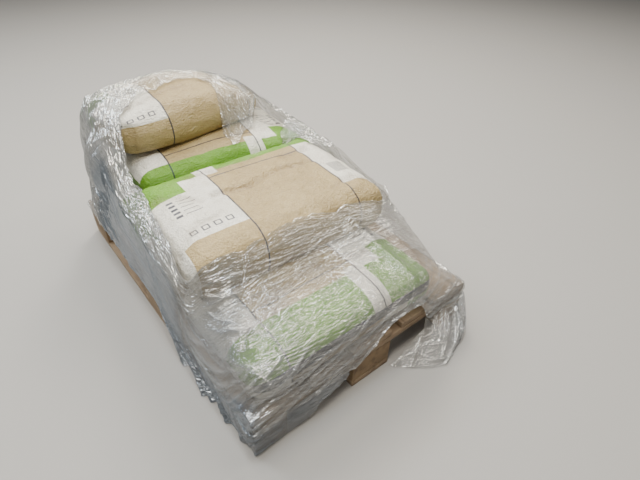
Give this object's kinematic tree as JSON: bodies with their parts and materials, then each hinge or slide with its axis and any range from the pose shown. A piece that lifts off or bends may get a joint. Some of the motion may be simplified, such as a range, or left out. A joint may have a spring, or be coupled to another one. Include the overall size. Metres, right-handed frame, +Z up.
{
  "type": "part-used pallet of dry mortar sacks",
  "caption": "Wooden four-way pallet carrying a low, uneven pile of filled paper mortar sacks, wound in clear stretch film that is torn open on top and hangs loose at a corner.",
  "frame": {"origin": "centre of the pallet's underside, on the middle bottom board, at floor level", "axes": "+X along the pallet's 1200 mm length towards the end with the single low sack, +Y across its 800 mm width, +Z up"},
  "size_m": [1.3597, 0.8413, 0.6015],
  "materials": {
    "pallet_wood": "rough sawn softwood, weathered",
    "pallet_block_wood": "rough sawn softwood, darker end grain",
    "sack_paper": "matt printed sack paper, cream and beige with green bands",
    "stretch_film": "clear glossy stretch film, many wrinkled layers"
  },
  "bodies": {
    "root": {"bottom_board_left": "pallet_wood", "block_back_left": "pallet_block_wood", "block_centre_left": "pallet_block_wood", "block_front_left": "pallet_block_wood", "bottom_board_middle": "pallet_wood", "block_back_middle": "pallet_block_wood", "block_centre_middle": "pallet_block_wood", "block_front_middle": "pallet_block_wood", "bottom_board_right": "pallet_wood", "block_back_right": "pallet_block_wood", "block_centre_right": "pallet_block_wood", "block_front_right": "pallet_block_wood", "cross_board_back": "pallet_wood", "cross_board_centre": "pallet_wood", "cross_board_front": "pallet_wood", "deck_board_left": "pallet_wood", "deck_board_left_inner": "pallet_wood", "deck_board_middle": "pallet_wood", "deck_board_right_inner": "pallet_wood", "deck_board_right": "pallet_wood", "sack_lower_front": "sack_paper", "sack_lower_middle": "sack_paper", "sack_lower_back": "sack_paper", "sack_middle_front": "sack_paper", "sack_middle_back": "sack_paper", "sack_top": "sack_paper", "stretch_film_left": "stretch_film", "stretch_film_front": "stretch_film", "stretch_film_right": "stretch_film", "stretch_film_back": "stretch_film", "stretch_film_skirt": "stretch_film", "stretch_film_loose_fold": "stretch_film"}
  },
  "joints": []
}
